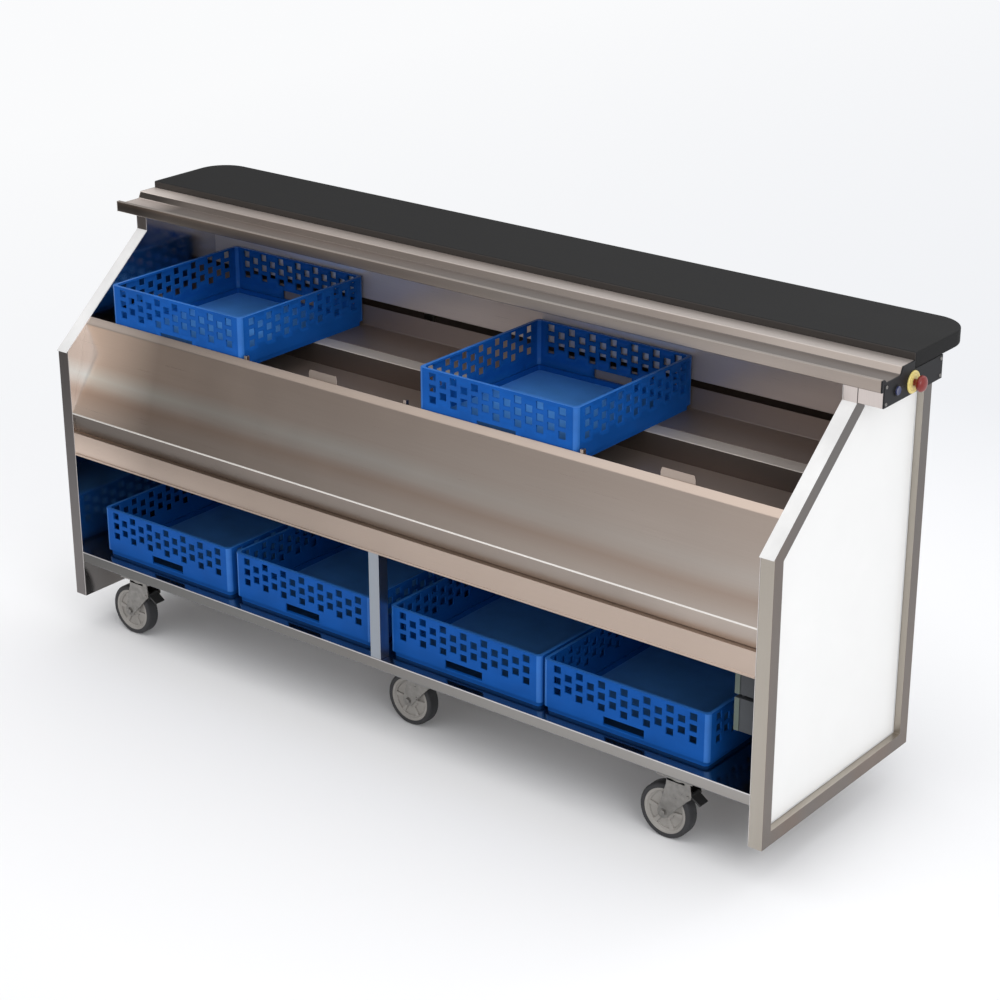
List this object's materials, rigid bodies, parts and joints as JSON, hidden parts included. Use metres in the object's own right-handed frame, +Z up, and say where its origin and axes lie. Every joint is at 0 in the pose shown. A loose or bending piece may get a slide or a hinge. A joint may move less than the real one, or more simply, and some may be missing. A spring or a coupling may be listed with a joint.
{
  "type": "mobile bar",
  "caption": "Free-standing mobile bar counter: stainless frame, white side panels, sloping front, basket well under a black bar top, open lower shelf, swivel casters.",
  "frame": {"origin": "on the floor, under the middle of the bounding box", "axes": "+X along the counter toward the control plate, +Y toward the customer's side, +Z up"},
  "size_m": [2.562, 0.7628, 1.24],
  "materials": {
    "stainless": "fine brushed stainless sheet, satin",
    "chassis_steel": "matt grey chassis paint",
    "warm_steel": "satin stainless with a warm cast",
    "white_panel": "smooth white laminate panel",
    "black_laminate": "matt black laminate",
    "black_coating": "satin black powder coat",
    "yellow_plastic": "satin signal yellow",
    "red_plastic": "satin signal red",
    "dark_blue_plastic": "satin dark blue",
    "dark_coating": "dark grey enclosure paint",
    "edge_trim": "pale anodised trim",
    "black_plastic": "moulded black plastic",
    "basket_blue": "semi-matt blue polypropylene",
    "zinc": "bright zinc-plated steel",
    "hub_grey": "grey moulded nylon",
    "tyre_grey": "dark grey rubber"
  },
  "bodies": {
    "counter": {"side_frame_left": "stainless", "side_frame_right": "stainless", "control_box": "stainless", "side_liners": "stainless", "lower_shelf": "stainless", "centre_posts": "stainless", "bay_ceiling": "stainless", "front_fascia": "stainless", "middle_rail": "stainless", "back_wall": "stainless", "locating_tabs": "stainless", "place_dividers": "stainless", "service_ledge": "stainless", "back_frame": "stainless", "well_tray": "stainless", "chassis_rails": "chassis_steel", "front_apron": "warm_steel", "side_panel_left": "white_panel", "side_panel_right": "white_panel", "slope_covers": "white_panel", "customer_panels": "white_panel", "bar_top": "black_laminate", "control_plate": "black_coating", "stop_ring": "yellow_plastic", "unit_upper_box": "dark_coating", "unit_lower_box": "dark_coating", "unit_edge_trim": "edge_trim", "power_inlet": "black_plastic", "caster_plates": "zinc", "caster_bolts": "zinc", "panel_screws": "zinc"},
    "stop_button": {"stop_button": "red_plastic"},
    "reset_button": {"reset_button": "dark_blue_plastic"},
    "upper_basket_1": {"upper_basket_1": "basket_blue"},
    "upper_basket_3": {"upper_basket_3": "basket_blue"},
    "lower_basket_1": {"lower_basket_1": "basket_blue"},
    "lower_basket_2": {"lower_basket_2": "basket_blue"},
    "lower_basket_3": {"lower_basket_3": "basket_blue"},
    "lower_basket_4": {"lower_basket_4": "basket_blue"},
    "swivel_fl": {"fork_fl": "zinc"},
    "wheel_fl": {"hub_fl": "hub_grey", "tyre_fl": "tyre_grey"},
    "swivel_fm": {"fork_fm": "zinc"},
    "wheel_fm": {"hub_fm": "hub_grey", "tyre_fm": "tyre_grey"},
    "swivel_fr": {"fork_fr": "zinc"},
    "wheel_fr": {"hub_fr": "hub_grey", "tyre_fr": "tyre_grey"},
    "swivel_rl": {"fork_rl": "zinc"},
    "wheel_rl": {"hub_rl": "hub_grey", "tyre_rl": "tyre_grey"},
    "swivel_rm": {"fork_rm": "zinc"},
    "wheel_rm": {"hub_rm": "hub_grey", "tyre_rm": "tyre_grey"},
    "swivel_rr": {"fork_rr": "zinc"},
    "wheel_rr": {"hub_rr": "hub_grey", "tyre_rr": "tyre_grey"},
    "brake_fl": {"brake_fl": "zinc"},
    "brake_fr": {"brake_fr": "zinc"}
  },
  "joints": [
    {"name": "stop_button_press", "type": "slide", "parent": "counter", "child": "stop_button", "axis": [-1, 0, 0], "range_m": [0, 0.005]},
    {"name": "reset_button_press", "type": "slide", "parent": "counter", "child": "reset_button", "axis": [-1, 0, 0], "range_m": [0, 0.0025], "stiffness_N_per_m": 400, "springref_m": -0.001},
    {"name": "upper_basket_1_lift", "type": "slide", "parent": "counter", "child": "upper_basket_1", "axis": [0, 0, 1], "range_m": [0, 0.12]},
    {"name": "upper_basket_3_lift", "type": "slide", "parent": "counter", "child": "upper_basket_3", "axis": [0, 0, 1], "range_m": [0, 0.12]},
    {"name": "lower_basket_1_slide", "type": "slide", "parent": "counter", "child": "lower_basket_1", "axis": [0, -1, 0], "range_m": [-0.1, 0.35]},
    {"name": "lower_basket_2_slide", "type": "slide", "parent": "counter", "child": "lower_basket_2", "axis": [0, -1, 0], "range_m": [-0.1, 0.35]},
    {"name": "lower_basket_3_slide", "type": "slide", "parent": "counter", "child": "lower_basket_3", "axis": [0, -1, 0], "range_m": [-0.1, 0.35]},
    {"name": "lower_basket_4_slide", "type": "slide", "parent": "counter", "child": "lower_basket_4", "axis": [0, -1, 0], "range_m": [-0.1, 0.35]},
    {"name": "swivel_fl_turn", "type": "hinge", "parent": "counter", "child": "swivel_fl", "pos_m": [-0.993, -0.30556, 0.1737], "axis": [0, 0, 1], "continuous": true},
    {"name": "wheel_fl_roll", "type": "hinge", "parent": "swivel_fl", "child": "wheel_fl", "pos_m": [-1.035, -0.30556, 0.075], "axis": [0, 1, 0], "continuous": true},
    {"name": "swivel_fm_turn", "type": "hinge", "parent": "counter", "child": "swivel_fm", "pos_m": [0.02, -0.23856, 0.1737], "axis": [0, 0, 1], "continuous": true},
    {"name": "wheel_fm_roll", "type": "hinge", "parent": "swivel_fm", "child": "wheel_fm", "pos_m": [-0.022, -0.23856, 0.075], "axis": [0, 1, 0], "continuous": true},
    {"name": "swivel_fr_turn", "type": "hinge", "parent": "counter", "child": "swivel_fr", "pos_m": [0.905, -0.30556, 0.1737], "axis": [0, 0, 1], "continuous": true},
    {"name": "wheel_fr_roll", "type": "hinge", "parent": "swivel_fr", "child": "wheel_fr", "pos_m": [0.863, -0.30556, 0.075], "axis": [0, 1, 0], "continuous": true},
    {"name": "swivel_rl_turn", "type": "hinge", "parent": "counter", "child": "swivel_rl", "pos_m": [-0.993, 0.21944, 0.1737], "axis": [0, 0, 1], "continuous": true},
    {"name": "wheel_rl_roll", "type": "hinge", "parent": "swivel_rl", "child": "wheel_rl", "pos_m": [-1.035, 0.21944, 0.075], "axis": [0, 1, 0], "continuous": true},
    {"name": "swivel_rm_turn", "type": "hinge", "parent": "counter", "child": "swivel_rm", "pos_m": [0.02, 0.15244, 0.1737], "axis": [0, 0, 1], "continuous": true},
    {"name": "wheel_rm_roll", "type": "hinge", "parent": "swivel_rm", "child": "wheel_rm", "pos_m": [-0.022, 0.15244, 0.075], "axis": [0, 1, 0], "continuous": true},
    {"name": "swivel_rr_turn", "type": "hinge", "parent": "counter", "child": "swivel_rr", "pos_m": [0.905, 0.21944, 0.1737], "axis": [0, 0, 1], "continuous": true},
    {"name": "wheel_rr_roll", "type": "hinge", "parent": "swivel_rr", "child": "wheel_rr", "pos_m": [0.863, 0.21944, 0.075], "axis": [0, 1, 0], "continuous": true},
    {"name": "brake_fl_press", "type": "hinge", "parent": "swivel_fl", "child": "brake_fl", "pos_m": [-0.963, -0.30556, 0.141], "axis": [0, 1, 0], "range_deg": [0, 22]},
    {"name": "brake_fr_press", "type": "hinge", "parent": "swivel_fr", "child": "brake_fr", "pos_m": [0.935, -0.30556, 0.141], "axis": [0, 1, 0], "range_deg": [0, 22]}
  ]
}
